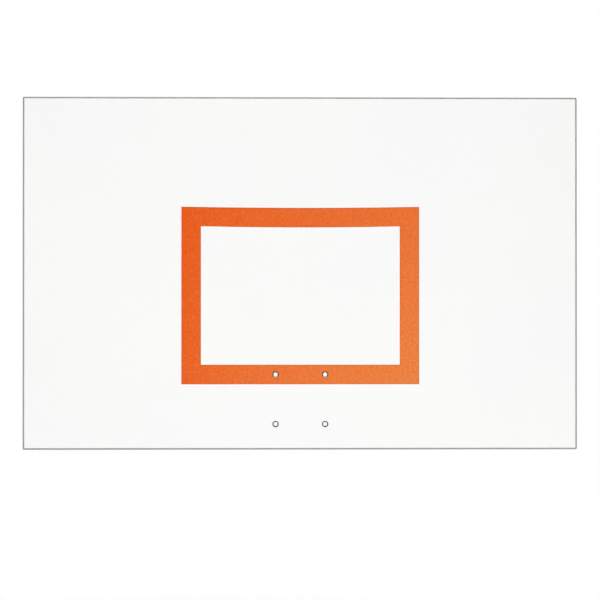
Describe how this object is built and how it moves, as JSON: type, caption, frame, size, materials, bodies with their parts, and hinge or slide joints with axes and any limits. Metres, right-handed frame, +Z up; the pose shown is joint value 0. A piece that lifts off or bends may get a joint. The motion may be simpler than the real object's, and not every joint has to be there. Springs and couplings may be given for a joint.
{
  "type": "basketball backboard",
  "caption": "Rectangular white steel basketball backboard with an orange target frame, square rim bolt holes, and a ribbed back with slotted brace brackets.",
  "frame": {"origin": "centre of the square of rim bolt holes, on the front face of the board", "axes": "+X to the right as seen from the court, +Y back away from the court, +Z up; the front face looks along -Y"},
  "size_m": [1.422, 0.1052, 0.904],
  "materials": {
    "white_coat": "white powder coat, semi-gloss",
    "target_paint": "orange paint, satin",
    "galvanised": "hot-dip galvanised, dull spangle",
    "dark_steel": "blackened steel, dull",
    "zinc_plate": "zinc plated, bright"
  },
  "bodies": {
    "root": {"face_panel": "white_coat", "upright_left": "white_coat", "upright_right": "white_coat", "rim_doubler_plate": "white_coat", "rib_lower_left": "white_coat", "rib_lower_right": "white_coat", "rib_middle_left": "white_coat", "rib_middle_right": "white_coat", "rib_upper_left": "white_coat", "rib_upper_right": "white_coat", "rib_middle_centre": "white_coat", "rib_upper_centre": "white_coat", "gusset_lower_left": "white_coat", "gusset_lower_right": "white_coat", "gusset_upper_left": "white_coat", "gusset_upper_right": "white_coat", "target_rectangle": "target_paint", "rim_mount_channel": "galvanised", "bracket_lower_left": "galvanised", "bracket_lower_right": "galvanised", "bracket_upper_left": "galvanised", "bracket_upper_right": "galvanised", "rim_sleeves": "dark_steel", "upright_weld_nuts": "zinc_plate", "channel_bolts": "zinc_plate", "bracket_bolts": "zinc_plate", "channel_washers": "zinc_plate", "channel_lock_washers": "zinc_plate", "bracket_washers": "zinc_plate", "bracket_lock_washers": "zinc_plate"}
  },
  "joints": []
}
